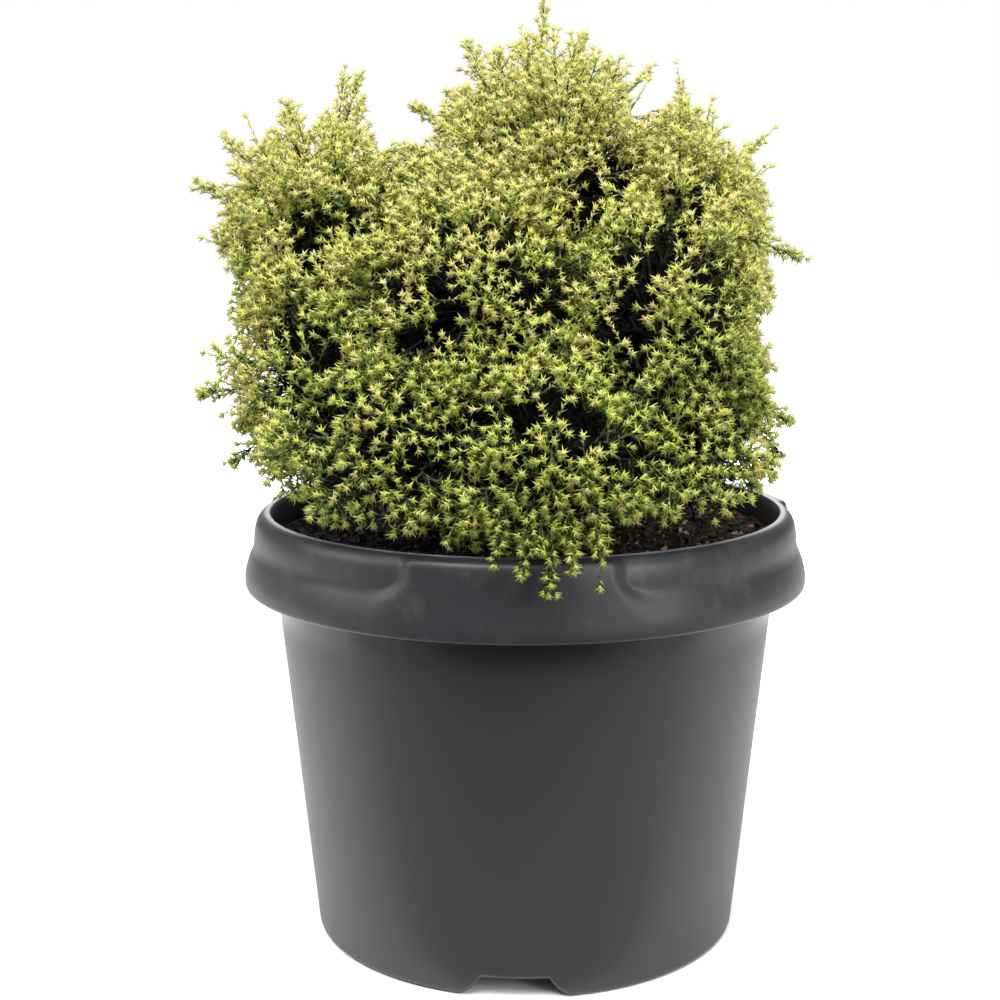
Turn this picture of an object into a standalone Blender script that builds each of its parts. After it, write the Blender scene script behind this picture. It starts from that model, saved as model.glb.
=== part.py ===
# Potted dwarf Japanese cedar: nursery pot, potting mix, stem, boughs and masses of foliage.
# Metres, +Z up. The origin is the middle of the pot's flat underside, and -Y is the front.
import math

import bmesh
import bpy
import numpy as np
from mathutils import Vector

# Driving dimensions of the pot
BASE_R = 0.1048
WALL_RISE = 0.1015
WALL_T = 0.0020
LIP_R = 0.1245
LIP_TOP = 0.2100
RIM_R = 0.1378
RIM_FOOT_Z = 0.1730
CORNER_R = 0.0048
NOTCH_H = 0.0095
POCKET_R = 0.0800
POCKET_RAMP = 0.0080
DRAIN_R = 0.0045
DRAIN_AT = 0.0905
FRONT_TURN = math.radians(-2.6)
THIRD = math.tau / 3

# Where the columns of the pot's grid stand, in degrees from the middle of each third
HALF_THIRD = (0, 9.6, 11.5, 14.6, 16.5, 20, 24, 33, 42, 51)
NOTCH_SHAPE = ((0, 1), (9.6, 1), (11.5, 0.86), (14.6, 0.14), (16.5, 0), (60, 0))
SHOULDER_SHAPE = ((0, 1), (16.5, 1), (20, 0.5), (24, 0), (60, 0))

# Potting mix
GAP = 0.0003
SOIL_Z = 0.1975
SOIL_LUMP = 0.0022
TRUNK_PATCH_R = 0.020

# Stem
TRUNK_FOOT = Vector((-0.006, 0.004, SOIL_Z + GAP))
TRUNK_TIP = Vector((0.001, 0.012, 0.3300))
TRUNK_BOW = Vector((-0.010, 0.002, 0.2650))
TRUNK_R = 0.0074
TRUNK_TIP_R = 0.0030
FLARE_R = 0.0048
FLARE_H = 0.0150
TRUNK_SIDES = 10
TRUNK_RINGS = 9

# Boughs and the stems inside the masses
BOUGH_R = 0.0036
BOUGH_TIP_R = 0.0022
BOUGH_SIDES = 6
BOUGH_RINGS = 4
BOUGH_END_SHARE = 0.84
SEAT_STEP = 0.00005
STEM_SIDES = 5

# Foliage
CORE_SHARE = 0.80
CORE_WALL_SHARE = 0.90
CORE_CUTS = 3
CORE_TUFT = 0.09
CORE_STEP = 0.0008
CORE_PASSES = 30
ENTRY_DENT = 0.15
ENTRY_WIDTH = 0.45
CELL_GAP = 0.0009
LIMB_GAP = 0.0014
POT_GAP = 0.0012
SPRAY_PITCH = 0.0276
SPRAY_LEAST = 0.72
SPRAY_ROOT = 0.0110
SAG_MOST = 0.5
SPRAY_R = 0.0105
LEADER_R = 0.0078
TWIG_R = 0.0020
LUMP = 0.06
GOLDEN = math.pi * (3 - math.sqrt(5))
SEED = 71

# The tiers of needles on a spray: how far the roots and the tips of the needles stand out from
# the core, as shares of the way to the spray's tip, and how far the needles spread from the twig
SPRAY_TIERS = ((0.16, 0.52, 1.0),)
LEADER_TIERS = ((0.12, 0.38, 1.0), (0.52, 0.72, 0.68))

# Each mass: centre, outer radii, height of its bough on the trunk, sag of its sprays,
# and its long leaders as (compass angle from +X, angle above level, reach)
MASSES = {
    "mass_top": {
        "at": (0.003, 0.010, 0.366),
        "radii": (0.070, 0.056, 0.073),
        "bough": None,
        "sag": 0.0,
        "leaders": ((0, 86, 0.0845), (170, 65, 0.073), (10, 43, 0.078), (186, 14, 0.066)),
    },
    "mass_left_shoulder": {
        "at": (-0.098, 0.002, 0.340),
        "radii": (0.055, 0.054, 0.062),
        "bough": 0.262,
        "sag": 0.0,
        "leaders": ((20, 81, 0.080), (172, 46, 0.068), (180, 24, 0.065)),
    },
    "mass_right_shoulder": {
        "at": (0.074, 0.006, 0.350),
        "radii": (0.046, 0.052, 0.054),
        "bough": 0.270,
        "sag": 0.0,
        "leaders": ((90, 88, 0.063), (10, 42, 0.054), (-5, -17, 0.059)),
    },
    "mass_front_middle": {
        "at": (-0.022, -0.064, 0.310),
        "radii": (0.066, 0.054, 0.062),
        "bough": 0.243,
        "sag": 0.004,
        "leaders": (),
    },
    "mass_front_right": {
        "at": (0.058, -0.060, 0.304),
        "radii": (0.054, 0.050, 0.058),
        "bough": 0.236,
        "sag": 0.004,
        "leaders": (),
    },
    "mass_left_side": {
        "at": (-0.086, -0.040, 0.274),
        "radii": (0.055, 0.058, 0.054),
        "bough": 0.232,
        "sag": 0.006,
        "leaders": ((182, 2, 0.063), (195, -30, 0.060)),
    },
    "mass_right_side": {
        "at": (0.075, -0.010, 0.280),
        "radii": (0.050, 0.054, 0.050),
        "bough": 0.228,
        "sag": 0.006,
        "leaders": ((-6, -21, 0.057), (-8, -38, 0.064)),
    },
    "mass_left_skirt": {
        "at": (-0.054, -0.084, 0.247),
        "radii": (0.056, 0.044, 0.048),
        "bough": 0.222,
        "sag": 0.010,
        "leaders": (),
    },
    "mass_front_skirt": {
        "at": (0.009, -0.102, 0.250),
        "radii": (0.050, 0.046, 0.053),
        "bough": 0.2125,
        "sag": 0.030,
        "leaders": ((-89, -26, 0.0515), (-116, -22, 0.050), (-64, -22, 0.050)),
    },
    "mass_right_skirt": {
        "at": (0.064, -0.068, 0.242),
        "radii": (0.048, 0.044, 0.045),
        "bough": 0.220,
        "sag": 0.010,
        "leaders": (),
    },
    "mass_back_left": {
        "at": (-0.058, 0.070, 0.308),
        "radii": (0.060, 0.060, 0.062),
        "bough": 0.250,
        "sag": 0.002,
        "leaders": ((120, 50, 0.068),),
    },
    "mass_back_right": {
        "at": (0.044, 0.070, 0.318),
        "radii": (0.060, 0.060, 0.062),
        "bough": 0.252,
        "sag": 0.002,
        "leaders": ((60, 40, 0.066),),
    },
    "mass_back_low_left": {
        "at": (-0.068, 0.056, 0.249),
        "radii": (0.060, 0.058, 0.048),
        "bough": 0.217,
        "sag": 0.008,
        "leaders": ((150, 0, 0.062),),
    },
    "mass_back_low_right": {
        "at": (0.052, 0.062, 0.251),
        "radii": (0.060, 0.058, 0.050),
        "bough": 0.214,
        "sag": 0.008,
        "leaders": ((50, 0, 0.062),),
    },
}


def clear_scene():
    for obj in list(bpy.data.objects):
        bpy.data.objects.remove(obj)


def material(name, colour, roughness):
    made = bpy.data.materials.new(name)
    made.use_nodes = True
    shader = made.node_tree.nodes["Principled BSDF"]
    shader.inputs["Base Color"].default_value = (*colour, 1.0)
    shader.inputs["Roughness"].default_value = roughness
    shader.inputs["Metallic"].default_value = 0.0
    return made


def new_object(name, points, faces, finish, smooth_angle=None, collection=None):
    mesh = bpy.data.meshes.new(name)
    mesh.from_pydata([tuple(p) for p in points], [], faces)
    mesh.update()
    if smooth_angle is not None:
        mesh.shade_smooth()
        mesh.set_sharp_from_angle(angle=smooth_angle)
    mesh.materials.append(finish)
    obj = bpy.data.objects.new(name, mesh)
    (collection or bpy.context.scene.collection).objects.link(obj)
    return obj


# The value at a place between the knots of a table of (place, value)
def between(table, at):
    knots, values = zip(*table)
    return float(np.interp(at, knots, values))


# The columns of the pot: their angle, and how far each stands in a notch or a raised shoulder
def pot_columns():
    half = list(HALF_THIRD)
    turns = [-d for d in half[:0:-1]] + half + [60]
    columns = []
    for third in range(3):
        for turn in turns:
            angle = FRONT_TURN + third * THIRD + math.radians(turn)
            notch = between(NOTCH_SHAPE, abs(turn))
            shoulder = between(SHOULDER_SHAPE, abs(turn))
            columns.append((angle, notch * NOTCH_H, shoulder))
    return columns


# A point at this radius and height, where angle 0 is the front
def round_point(angle, radius, z):
    return Vector((radius * math.sin(angle), -radius * math.cos(angle), z))


def wall_r(z):
    return BASE_R + WALL_RISE * z


# One column of the pot's section, from the underside up the wall, round the rim and down inside
def pot_section(lift, shoulder):
    def rim(plain, raised):
        return tuple(a + (b - a) * shoulder for a, b in zip(plain, raised))

    channel_top = LIP_TOP - 0.0090
    return [
        (POCKET_R - POCKET_RAMP, 0.0),
        (POCKET_R, lift),
        (BASE_R - CORNER_R, lift),
        (BASE_R - 0.0012, lift + 0.0014),
        (wall_r(lift + CORNER_R), lift + CORNER_R),
        (wall_r(channel_top), channel_top),
        (wall_r(channel_top) + 0.0030, channel_top + 0.0020),
        (RIM_R - 0.0052, RIM_FOOT_Z + 0.0180),
        (RIM_R - 0.0040, RIM_FOOT_Z + 0.0012),
        (RIM_R - 0.0030, RIM_FOOT_Z),
        (RIM_R - 0.0010, RIM_FOOT_Z + 0.0020),
        (RIM_R, RIM_FOOT_Z + 0.0060),
        rim((0.1364, 0.1868), (0.1374, 0.1868)),
        rim((0.1344, 0.1932), (0.1362, 0.1940)),
        rim((0.1330, 0.1952), (0.1348, 0.1988)),
        rim((0.1322, 0.2052), (0.1322, 0.2048)),
        rim((0.1306, 0.2096), (0.1284, 0.2090)),
        (LIP_R + 0.0016, LIP_TOP),
        (LIP_R, LIP_TOP - 0.0014),
        (wall_r(lift + 0.006) - WALL_T, lift + 0.006),
        (BASE_R - CORNER_R, lift + WALL_T),
        (POCKET_R, lift + WALL_T),
        (POCKET_R - POCKET_RAMP, WALL_T),
    ]


# Columns of points round the axis, each running from one pole to the other, as a closed skin
def turned(name, columns, low_pole, high_pole, finish, smooth_angle):
    rows = len(columns[0])
    count = len(columns)
    points = [p for column in columns for p in column] + [low_pole, high_pole]
    low = count * rows
    high = low + 1
    faces = []
    for i in range(count):
        j = (i + 1) % count
        faces.append((low, j * rows, i * rows))
        for k in range(rows - 1):
            faces.append((i * rows + k, j * rows + k, j * rows + k + 1, i * rows + k + 1))
        faces.append((high, i * rows + rows - 1, j * rows + rows - 1))
    return new_object(name, points, faces, finish, smooth_angle)


def make_pot(finish):
    columns = []
    for angle, lift, shoulder in pot_columns():
        columns.append([round_point(angle, r, z) for r, z in pot_section(lift, shoulder)])
    pot = turned("pot", columns, Vector((0, 0, 0)), Vector((0, 0, WALL_T)), finish, math.radians(32))
    for third in range(3):
        drill = drain_cutter(third)
        cut = pot.modifiers.new(drill.name, "BOOLEAN")
        cut.operation = "DIFFERENCE"
        cut.object = drill
    return pot


def drain_cutter(third):
    bpy.ops.mesh.primitive_cylinder_add(vertices=12, radius=DRAIN_R, depth=NOTCH_H * 2)
    drill = bpy.context.object
    drill.name = f"drain_cutter_{third}"
    drill.location = round_point(FRONT_TURN + third * THIRD, DRAIN_AT, NOTCH_H)
    drill.hide_render = True
    drill.display_type = "WIRE"
    return drill


# The mix fills the pot, and steps up over each pocket one column early to stay clear of its sides
def make_soil(finish):
    edge_z = SOIL_Z - 0.0012
    plan = pot_columns()
    columns = []
    for i, (angle, _, _) in enumerate(plan):
        lift = max(plan[i - 1][1], plan[i][1], plan[(i + 1) % len(plan)][1])
        crumb = SOIL_LUMP * math.sin(i * 1.9 + 5.6)
        corner = lift + WALL_T + GAP
        section = [
            (POCKET_R - POCKET_RAMP, WALL_T + GAP),
            (POCKET_R - 0.0004, corner),
            (BASE_R - CORNER_R - 0.0006, corner),
            (wall_r(edge_z) - WALL_T - 2 * GAP, edge_z),
            (LIP_R * 0.66, SOIL_Z + crumb),
            (TRUNK_PATCH_R, SOIL_Z),
        ]
        columns.append([round_point(angle, r, z) for r, z in section])
    low = Vector((0, 0, WALL_T + GAP))
    return turned("soil", columns, low, Vector((0, 0, SOIL_Z)), finish, math.radians(50))


def bezier(a, b, c, t):
    return a * (1 - t) ** 2 + b * (2 * t * (1 - t)) + c * t**2


# A round limb through rings of these centres and radii, with flat ends. The normals set how
# each ring is tilted
def tube(name, centres, radii, normals, sides, finish, collection=None):
    points = []
    spoke = None
    for centre, radius, normal in zip(centres, radii, normals):
        normal = normal.normalized()
        if spoke is None:
            spoke = normal.orthogonal()
        spoke = (spoke - normal * spoke.dot(normal)).normalized()
        across = normal.cross(spoke)
        for k in range(sides):
            a = math.tau * k / sides
            points.append(centre + (spoke * math.cos(a) + across * math.sin(a)) * radius)
    faces = [tuple(range(sides))[::-1]]
    for ring in range(len(centres) - 1):
        for k in range(sides):
            n = (k + 1) % sides
            low, high = ring * sides, (ring + 1) * sides
            faces.append((low + k, low + n, high + n, high + k))
    last = (len(centres) - 1) * sides
    faces.append(tuple(range(last, last + sides)))
    smooth = math.radians(70) if collection is None else None
    return new_object(name, points, faces, finish, smooth, collection)


def trunk_at(t):
    return bezier(TRUNK_FOOT, TRUNK_BOW, TRUNK_TIP, t)


def trunk_radius(t):
    height = trunk_at(t).z - TRUNK_FOOT.z
    flare = FLARE_R * max(0.0, 1 - height / FLARE_H) ** 2
    return TRUNK_R + (TRUNK_TIP_R - TRUNK_R) * t + flare


# How far along the trunk it reaches this height
def trunk_share(z):
    steps = np.linspace(0, 1, 201)
    return float(np.interp(z, [trunk_at(t).z for t in steps], steps))


def make_trunk(finish):
    shares = [(k / (TRUNK_RINGS - 1)) ** 1.3 for k in range(TRUNK_RINGS)]
    centres = [trunk_at(t) for t in shares]
    radii = [trunk_radius(t) for t in shares]
    normals = [Vector((0, 0, 1))]
    normals += [centres[k + 1] - centres[k - 1] for k in range(1, TRUNK_RINGS - 1)]
    normals.append(centres[-1] - centres[-2])
    tube("trunk", centres, radii, normals, TRUNK_SIDES, finish)
    return list(zip(centres, centres[1:], radii, radii[1:]))


# Long-wave relief of a mass, so that no mass is a plain ellipsoid
def lump_waves(name):
    rng = np.random.default_rng([SEED, *name.encode()])
    waves = rng.normal(size=(5, 3)) * 3.2
    phases = rng.uniform(0, math.tau, 5)
    return waves, phases


def lump(mass, d):
    waves, phases = mass["waves"]
    return 1 + LUMP * float(np.sin(waves @ np.array(d) + phases).sum()) / 2.2


def ellipsoid_reach(mass, d):
    rx, ry, rz = mass["radii"]
    return 1 / math.sqrt((d.x / rx) ** 2 + (d.y / ry) ** 2 + (d.z / rz) ** 2)


# The flat walls between each mass and its neighbours, as (direction, distance from its centre)
def cell_walls(name, masses):
    mass = masses[name]
    walls = []
    for other_name, other in masses.items():
        if other_name == name:
            continue
        apart = other["centre"] - mass["centre"]
        span = apart.length
        at = (span**2 + mass["size"] ** 2 - other["size"] ** 2) / (2 * span)
        walls.append((apart / span, at))
    return walls


# The points a mass's core, stem and sprays may use: inside its walls, off the pot and mix
def in_space(mass, p, gap):
    q = p - mass["centre"]
    if any(q.dot(n) > at - gap for n, at in mass["walls"]):
        return False
    radius = math.hypot(p.x, p.y)
    over_rim = p.z > LIP_TOP + POT_GAP
    outside = radius > RIM_R + POT_GAP and p.z > RIM_FOOT_Z
    inside = radius < LIP_R - 0.004 and p.z > SOIL_Z + SOIL_LUMP + POT_GAP
    return over_rim or outside or inside


def clear_of_limbs(p, limbs, gap):
    for a, b, radius_a, radius_b in limbs:
        along = b - a
        t = max(0.0, min(1.0, (p - a).dot(along) / along.length_squared))
        if (p - a - along * t).length < radius_a + (radius_b - radius_a) * t + gap:
            return False
    return True


def plan_masses():
    masses = {}
    for name, spec in MASSES.items():
        mass = dict(spec)
        mass["centre"] = Vector(spec["at"])
        mass["size"] = float(np.prod(spec["radii"])) ** (1 / 3)
        mass["waves"] = lump_waves(name)
        masses[name] = mass
    for name, mass in masses.items():
        mass["walls"] = cell_walls(name, masses)
    return masses


# Where a bough's flat end stands on the trunk's side with only the seating gap between them
def seat_on_trunk(axis, level, trunk):
    across = level.cross(Vector((0, 0, 1)))
    start = axis.copy()
    while True:
        start += level * SEAT_STEP
        turns = [math.tau * k / 12 for k in range(12)]
        edge = [
            start + (across * math.cos(a) + Vector((0, 0, math.sin(a)))) * BOUGH_R for a in turns
        ]
        if all(clear_of_limbs(p, trunk, GAP) for p in [start, *edge]):
            return start


# One tapering limb from the trunk's side to where it enters its mass
def make_bough(name, mass, trunk, finish):
    axis = trunk_at(trunk_share(mass["bough"]))
    out = mass["centre"] - axis
    level = Vector((out.x, out.y, 0)).normalized()
    start = seat_on_trunk(axis, level, trunk)
    inward = (start - mass["centre"]).normalized()
    end = mass["centre"] + inward * ellipsoid_reach(mass, inward) * BOUGH_END_SHARE
    bend = start + level * (end - start).length * 0.45 + Vector((0, 0, 0.2 * (end.z - start.z)))
    shares = [k / (BOUGH_RINGS - 1) for k in range(BOUGH_RINGS)]
    centres = [bezier(start, bend, end, t) for t in shares]
    radii = [BOUGH_R + (BOUGH_TIP_R - BOUGH_R) * t for t in shares]
    normals = [level]
    normals += [centres[k + 1] - centres[k - 1] for k in range(1, BOUGH_RINGS - 1)]
    normals.append(end - bend)
    tube(name, centres, radii, normals, BOUGH_SIDES, finish)
    mass["entry"] = (end, (end - bend).normalized())
    return list(zip(centres, centres[1:], radii, radii[1:]))


# How far the core reaches in this direction: a share of the way to the outline or the walls,
# and short of limbs, pot and mix
def core_reach(mass, d, limbs):
    entry_side = (mass["entry"][0] - mass["centre"]).normalized()
    dent = 1 - ENTRY_DENT * math.exp(-((d.angle(entry_side) / ENTRY_WIDTH) ** 2))
    room = [at / d.dot(n) * CORE_WALL_SHARE for n, at in mass["walls"] if d.dot(n) > 0]
    most = min([ellipsoid_reach(mass, d) * lump(mass, d) * dent * CORE_SHARE] + room)
    reach = CORE_STEP
    while reach + CORE_STEP <= most:
        p = mass["centre"] + d * (reach + CORE_STEP)
        if not in_space(mass, p, CELL_GAP) or not clear_of_limbs(p, limbs, LIMB_GAP):
            break
        reach += CORE_STEP
    return reach


# True where the middle of a face of the core, and of each of its sides, is clear of everything
def face_clear(mass, corners, limbs):
    a, b, c = corners
    inner = (a.lerp(b, 0.5), b.lerp(c, 0.5), c.lerp(a, 0.5), (a + b + c) / 3)
    return all(in_space(mass, p, 0.0) and clear_of_limbs(p, limbs, LIMB_GAP * 0.6) for p in inner)


def make_core(name, mass, limbs, finish):
    bm = bmesh.new()
    bmesh.ops.create_cube(bm, size=2.0)
    bmesh.ops.subdivide_edges(bm, edges=bm.edges[:], cuts=CORE_CUTS, use_grid_fill=True)
    centre = mass["centre"]
    for v in bm.verts:
        odd = sum(round((c + 1) * (CORE_CUTS + 1) / 2) for c in v.co) % 2
        d = Vector([math.tan(c * math.pi / 4) for c in v.co]).normalized()
        v.co = centre + d * core_reach(mass, d, limbs) * (1 - CORE_TUFT * 2 * odd)
    bmesh.ops.triangulate(bm, faces=bm.faces[:], quad_method="SHORT_EDGE")
    for _ in range(CORE_PASSES):
        tight = set()
        for face in bm.faces:
            if not face_clear(mass, [v.co for v in face.verts], limbs):
                tight.update(face.verts)
        if not tight:
            break
        for v in tight:
            v.co = centre + (v.co - centre) * 0.94
    mesh = bpy.data.meshes.new(name)
    bm.to_mesh(mesh)
    bm.free()
    mesh.materials.append(finish)
    core = bpy.data.objects.new(name, mesh)
    bpy.context.scene.collection.objects.link(core)
    return core


# The sprays of a mass as (direction, core's reach, reach, sag, tiers, width, turn): leaders
# first, then an even spread with a seeded shake
def spray_plan(name, mass, limbs):
    rng = np.random.default_rng([SEED, 5, *name.encode()])
    plan = []
    for compass, rise, reach in mass["leaders"]:
        a, e = math.radians(compass), math.radians(rise)
        d = Vector((math.cos(a) * math.cos(e), math.sin(a) * math.cos(e), math.sin(e)))
        inner = core_reach(mass, d, limbs)
        turn = rng.uniform(0, math.tau)
        plan.append((d, inner, reach, mass["sag"], LEADER_TIERS, LEADER_R, turn))
    count = round(4 * math.pi * mass["size"] ** 2 / SPRAY_PITCH**2)
    for k in range(count):
        z = 1 - 2 * (k + 0.5) / count
        a = k * GOLDEN
        ring = math.sqrt(1 - z * z)
        d = Vector((math.cos(a) * ring, math.sin(a) * ring, z))
        d = (d + Vector(rng.normal(size=3) * 0.10)).normalized()
        full = ellipsoid_reach(mass, d) * lump(mass, d) * rng.uniform(0.98, 1.13)
        room = [(at - 2 * CELL_GAP) / d.dot(n) for n, at in mass["walls"] if d.dot(n) > 0]
        reach = min([full] + room)
        wide = SPRAY_R * rng.uniform(0.8, 1.15)
        turn = rng.uniform(0, math.tau)
        inner = core_reach(mass, d, limbs)
        sag = min(mass["sag"], (reach - inner) * SAG_MOST)
        if reach > max(full * SPRAY_LEAST, inner + SPRAY_R * 0.6):
            plan.append((d, inner, reach, sag, SPRAY_TIERS, wide, turn))
    return plan


# A spray: a slim three-sided twig that needles stand out of, three to a tier. Its rings are
# the foot in the core, the twig's end, needle tips and roots for each tier, and the tip
def spray_points(mass, d, inner, reach, sag, tiers, width, turn):
    out = reach - inner
    side = d.orthogonal().normalized()
    sixth = math.pi / 3

    def place(share, spread, angle):
        bent = max(0.0, share)
        axis = mass["centre"] + d * (inner + out * share) - Vector((0, 0, sag * bent**2))
        along = (d * out - Vector((0, 0, 2 * sag * bent))).normalized()
        across = (side - along * side.dot(along)).normalized()
        away = across * math.cos(angle) + along.cross(across) * math.sin(angle)
        return axis + away * spread

    foot = -min(SPRAY_ROOT, inner * 0.8) / out
    points = [place(foot, TWIG_R * 0.6, turn + 2 * k * sixth) for k in range(3)]
    points += [place(tiers[0][0] * 0.8, TWIG_R, turn + 2 * k * sixth) for k in range(3)]
    for n, (root, tip, share) in enumerate(tiers):
        for k in range(6):
            angle = turn + (k + n) * sixth
            if k % 2 == 0:
                points.append(place(tip, width * share, angle))
            else:
                points.append(place(root, TWIG_R * 0.7, angle))
    points.append(place(1, 0, 0))
    return points


def spray_faces(tiers):
    faces = [(2, 1, 0)]
    for k in range(3):
        n = (k + 1) % 3
        tip, root, next_tip = 6 + 2 * k, 7 + 2 * k, 6 + 2 * n
        faces += [(k, n, n + 3, k + 3)]
        faces += [(k + 3, root, tip), (k + 3, n + 3, root), (n + 3, next_tip, root)]
    for tier in range(1, tiers):
        low, high = 6 * tier, 6 * tier + 6
        for k in range(6):
            n = (k + 1) % 6
            # Each tier is turned by one place, so its needles stand over the roots below
            up, up_next = high + (k - 1) % 6, high + k
            if k % 2 == 0:
                faces += [(low + k, low + n, up), (low + n, up_next, up)]
            else:
                faces += [(low + k, low + n, up_next), (low + k, up_next, up)]
    last = 6 * tiers
    top = last + 6
    faces += [(last + k, last + (k + 1) % 6, top) for k in range(6)]
    return faces


# True where the whole spray keeps to its mass's space and off the limbs
def spray_fits(mass, points, limbs):
    probes = list(points)
    for tip in points[6:-1]:
        probes += [tip.lerp(points[-1], 0.5), tip.lerp(points[0], 0.5)]
    return all(in_space(mass, p, CELL_GAP) and clear_of_limbs(p, limbs, LIMB_GAP) for p in probes)


def make_mass(name, mass, limbs, finish):
    core = make_core(name, mass, limbs, finish)
    parts = bpy.data.collections.new(name + "_parts")
    bpy.context.scene.collection.children.link(parts)
    end, way = mass["entry"]
    centres = [end + way * GAP, end.lerp(mass["centre"], 0.5), mass["centre"]]
    normals = [way, mass["centre"] - end, mass["centre"] - end]
    radii = [BOUGH_TIP_R, BOUGH_TIP_R * 0.9, BOUGH_TIP_R * 0.6]
    tube(name + "_stem", centres, radii, normals, STEM_SIDES, finish, parts)
    for k, plan in enumerate(spray_plan(name, mass, limbs)):
        points = spray_points(mass, *plan)
        if spray_fits(mass, points, limbs):
            faces = spray_faces(len(plan[4]))
            new_object(f"{name}_{k}", points, faces, finish, None, parts)
    join = core.modifiers.new("join", "BOOLEAN")
    join.operation = "UNION"
    join.operand_type = "COLLECTION"
    join.collection = parts
    join.solver = "EXACT"
    bpy.context.view_layer.update()
    graph = bpy.context.evaluated_depsgraph_get()
    joined = bpy.data.meshes.new_from_object(core.evaluated_get(graph))
    core.modifiers.clear()
    core.data = joined
    for obj in list(parts.objects):
        bpy.data.objects.remove(obj)
    bpy.data.collections.remove(parts)
    keep_outer_skin(core)
    return core


# Drops loose scraps and fills sealed hollows: only the largest skin stays
def keep_outer_skin(obj):
    bm = bmesh.new()
    bm.from_mesh(obj.data)
    left = set(bm.faces)
    skins = []
    while left:
        stack = [left.pop()]
        skin = list(stack)
        while stack:
            for edge in stack.pop().edges:
                for face in edge.link_faces:
                    if face in left:
                        left.remove(face)
                        skin.append(face)
                        stack.append(face)
        skins.append(skin)
    skins.sort(key=len)
    scraps = [face for skin in skins[:-1] for face in skin]
    bmesh.ops.delete(bm, geom=scraps, context="FACES")
    bm.to_mesh(obj.data)
    bm.free()


def main():
    clear_scene()
    plastic = material("pot_plastic", (0.060, 0.062, 0.067), 0.45)
    mix = material("potting_mix", (0.030, 0.018, 0.012), 0.95)
    bark = material("bark", (0.110, 0.062, 0.038), 0.85)
    needles = material("needles", (0.300, 0.360, 0.060), 0.60)
    make_pot(plastic)
    make_soil(mix)
    trunk = make_trunk(bark)
    limbs = list(trunk)
    masses = plan_masses()
    for name, mass in masses.items():
        if mass["bough"] is None:
            way = (TRUNK_TIP - TRUNK_BOW).normalized()
            mass["entry"] = (TRUNK_TIP, way)
        else:
            limbs += make_bough(name.replace("mass", "bough"), mass, trunk, bark)
    for name, mass in masses.items():
        make_mass(name, mass, limbs, needles)


main()
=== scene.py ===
# Dwarf Japanese cedar in its nursery pot, dressed for a studio picture round the CAD model.
# Metres, +Z up. The pot stands on the floor at the origin, and -Y is the front.
import math

import bmesh
import bpy
import numpy as np
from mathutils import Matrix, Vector, noise


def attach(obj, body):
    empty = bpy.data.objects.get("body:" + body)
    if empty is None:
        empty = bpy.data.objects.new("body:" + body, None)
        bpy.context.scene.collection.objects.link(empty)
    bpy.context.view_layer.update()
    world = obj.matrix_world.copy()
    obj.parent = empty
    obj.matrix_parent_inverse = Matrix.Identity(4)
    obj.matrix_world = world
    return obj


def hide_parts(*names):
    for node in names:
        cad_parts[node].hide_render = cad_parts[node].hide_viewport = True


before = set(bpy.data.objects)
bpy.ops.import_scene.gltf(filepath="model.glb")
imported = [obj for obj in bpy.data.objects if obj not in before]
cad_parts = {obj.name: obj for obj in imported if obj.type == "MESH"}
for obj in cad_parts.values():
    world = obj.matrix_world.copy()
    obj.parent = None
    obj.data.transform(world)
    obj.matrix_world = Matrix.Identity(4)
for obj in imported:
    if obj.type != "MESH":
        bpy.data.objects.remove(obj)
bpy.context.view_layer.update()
golden = math.pi * (3 - math.sqrt(5))
seed = 71
up = np.array((0.0, 0.0, 1.0))


def hexColour(text):
    channels = [int(text[i:i + 2], 16) / 255 for i in (1, 3, 5)]
    return (*[c / 12.92 if c <= 0.04045 else ((c + 0.055) / 1.055) ** 2.4 for c in channels], 1.0)


# Sets a node's inputs, each to a value, a colour in hex or the output that feeds it
def setInputs(node, inputs):
    for key, value in inputs.items():
        if isinstance(value, bpy.types.NodeSocket):
            node.id_data.links.new(value, node.inputs[key])
        else:
            node.inputs[key].default_value = hexColour(value) if isinstance(value, str) else value


# Adds a shader node with its inputs and settings, and gives one of its outputs
def addNode(tree, kind, inputs=None, output="Result", **settings):
    node = tree.nodes.new("ShaderNode" + kind)
    for key, value in settings.items():
        setattr(node, key, value)
    setInputs(node, inputs or {})
    return node.outputs[output]


def newMaterial(name, colour, roughness, ior=1.5):
    made = bpy.data.materials.new(name)
    made.use_nodes = True
    shader = made.node_tree.nodes["Principled BSDF"]
    setInputs(shader, {"Base Color": colour, "Roughness": roughness, "IOR": ior})
    return made, made.node_tree, shader


def smoothstep(low, high, x):
    t = min(1.0, max(0.0, (x - low) / (high - low)))
    return t * t * (3 - 2 * t)


def unit(vectors):
    return vectors / np.linalg.norm(vectors, axis=-1, keepdims=True)


def finishPiece(obj, slotName, *nodes):
    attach(obj, "root")
    if nodes:
        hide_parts(*nodes)


def deselect():
    bpy.ops.object.select_all(action="DESELECT")


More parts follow.
